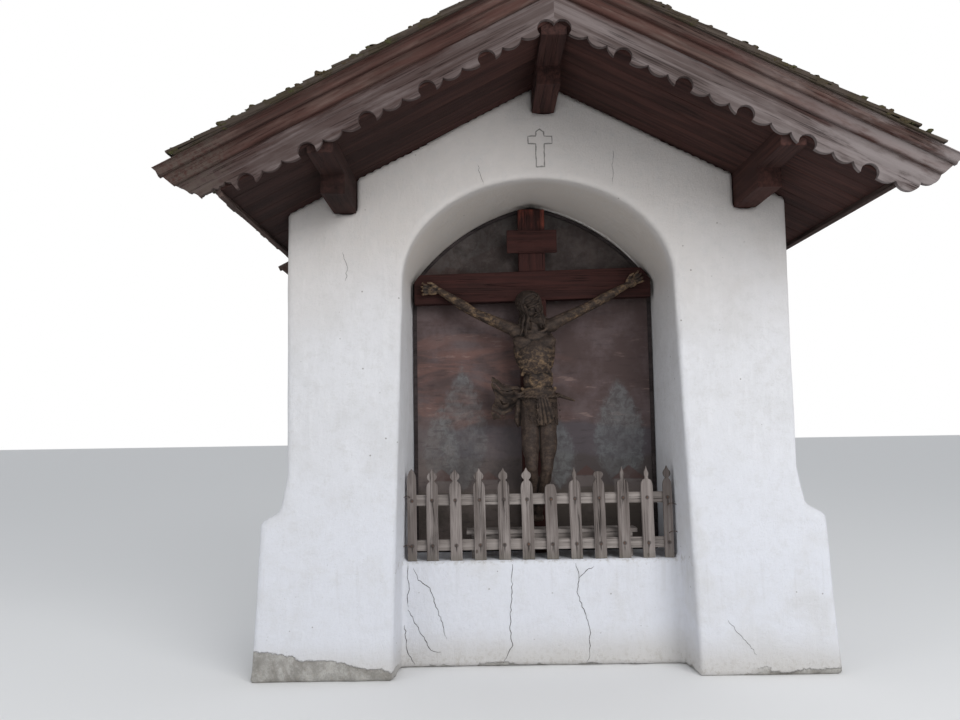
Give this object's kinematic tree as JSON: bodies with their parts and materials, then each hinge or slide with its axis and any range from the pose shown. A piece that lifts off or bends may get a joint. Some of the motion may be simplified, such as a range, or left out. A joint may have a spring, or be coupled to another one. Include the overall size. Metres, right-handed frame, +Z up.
{
  "type": "small chapel",
  "caption": "Small whitewashed wayside chapel with an arched niche, wooden cross and picket fence under a wide gable roof",
  "frame": {"origin": "on the ground under the ridge, at the middle of the roof's length", "axes": "+Z up, the open front of the niche faces -Y, +X runs across the front to the viewer's right"},
  "size_m": [3.919, 2.505, 3.7371],
  "materials": {
    "whitewash": "matte limewash on plastered rubble masonry",
    "weathered_boards": "bare grey-brown larch with worn red-brown paint",
    "soffit_wood": "old red-brown stain",
    "roof_timber": "rough sawn spruce",
    "shingles": "grey split larch shingles with moss",
    "painted_panel": "boards painted in dull grey and pinkish brown",
    "dark_wood": "dark red-brown stain",
    "carved_wood": "dark carved wood with worn ochre paint",
    "grey_wood": "bare weathered softwood"
  },
  "bodies": {
    "root": {"arch_wall": "whitewash", "back_wall": "whitewash", "left_pier": "whitewash", "left_plinth": "whitewash", "niche_base": "whitewash", "rear_gable": "whitewash", "right_pier": "whitewash", "right_plinth": "whitewash", "front_left_bargeboard": "weathered_boards", "front_right_bargeboard": "weathered_boards", "back_left_bargeboard": "weathered_boards", "back_right_bargeboard": "weathered_boards", "front_left_lower_moulding": "weathered_boards", "front_left_upper_moulding": "weathered_boards", "front_right_lower_moulding": "weathered_boards", "front_right_upper_moulding": "weathered_boards", "back_left_moulding": "weathered_boards", "back_right_moulding": "weathered_boards", "left_eave_board": "weathered_boards", "right_eave_board": "weathered_boards", "left_soffit_boards": "soffit_wood", "right_soffit_boards": "soffit_wood", "ridge_purlin": "soffit_wood", "left_purlin": "soffit_wood", "right_purlin": "soffit_wood", "left_rafters": "roof_timber", "right_rafters": "roof_timber", "left_shingles": "shingles", "right_shingles": "shingles", "ridge_boards": "shingles", "back_panel": "painted_panel", "cross_post": "dark_wood", "cross_beam": "dark_wood", "title_board": "dark_wood", "panel_frame": "dark_wood", "figure_head": "carved_wood", "figure_torso": "carved_wood", "figure_left_arm": "carved_wood", "figure_right_arm": "carved_wood", "figure_loincloth": "carved_wood", "figure_legs": "carved_wood", "picket_fence": "grey_wood", "bench_slats": "grey_wood", "bench_frame": "grey_wood"}
  },
  "joints": []
}
